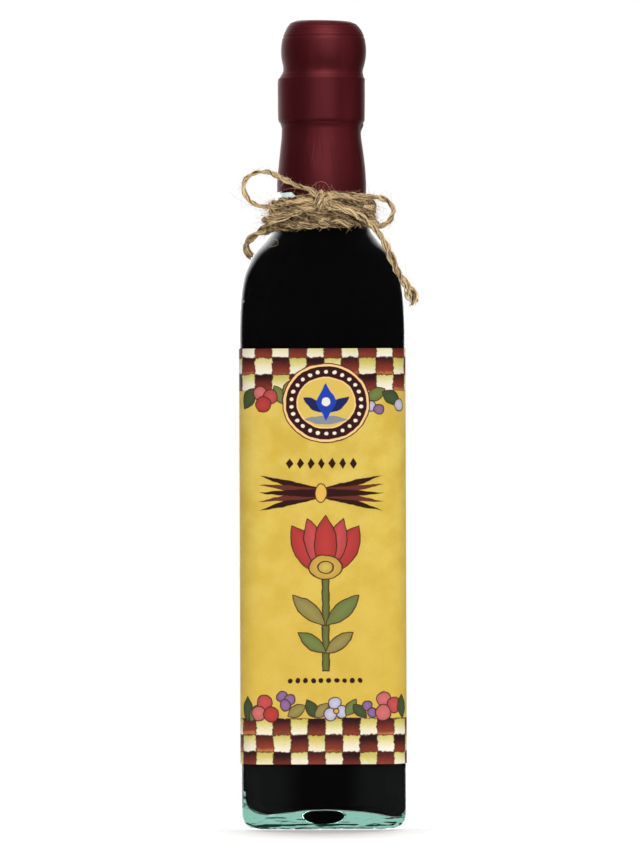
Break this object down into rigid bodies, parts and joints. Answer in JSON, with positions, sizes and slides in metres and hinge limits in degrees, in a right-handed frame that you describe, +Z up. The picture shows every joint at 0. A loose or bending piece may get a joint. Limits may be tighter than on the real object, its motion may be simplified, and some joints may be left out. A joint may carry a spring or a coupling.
{
  "type": "bottle of vanilla extract",
  "caption": "Square clear glass bottle of dark vanilla extract, sealed with a shrink capsule, with a wrap-round paper label and a jute twine bow tied round the neck.",
  "frame": {"origin": "on the ground under the middle of the square body", "axes": "+Z up along the bottle's axis, -Y out of the front, where the bow is tied, +X to the right of someone who looks at the front"},
  "size_m": [0.0623, 0.0582, 0.2825],
  "materials": {
    "glass": "clear pressed glass with a pale aqua tint, polished",
    "extract": "near-black brown liquid, clear and glossy",
    "capsule": "satin burgundy shrink film",
    "label": "uncoated mustard paper with a printed check band at top and bottom",
    "twine": "natural jute, twisted and fuzzy"
  },
  "bodies": {
    "root": {"glass_bottle": "glass", "vanilla_extract": "extract", "capsule": "capsule", "label": "label", "twine_wrap_1": "twine", "twine_wrap_2": "twine", "twine_wrap_3": "twine", "twine_wrap_4": "twine", "twine_wrap_5": "twine", "twine_knot": "twine", "twine_loop_left": "twine", "twine_loop_right": "twine", "twine_tail_left": "twine", "twine_tail_right": "twine"}
  },
  "joints": []
}
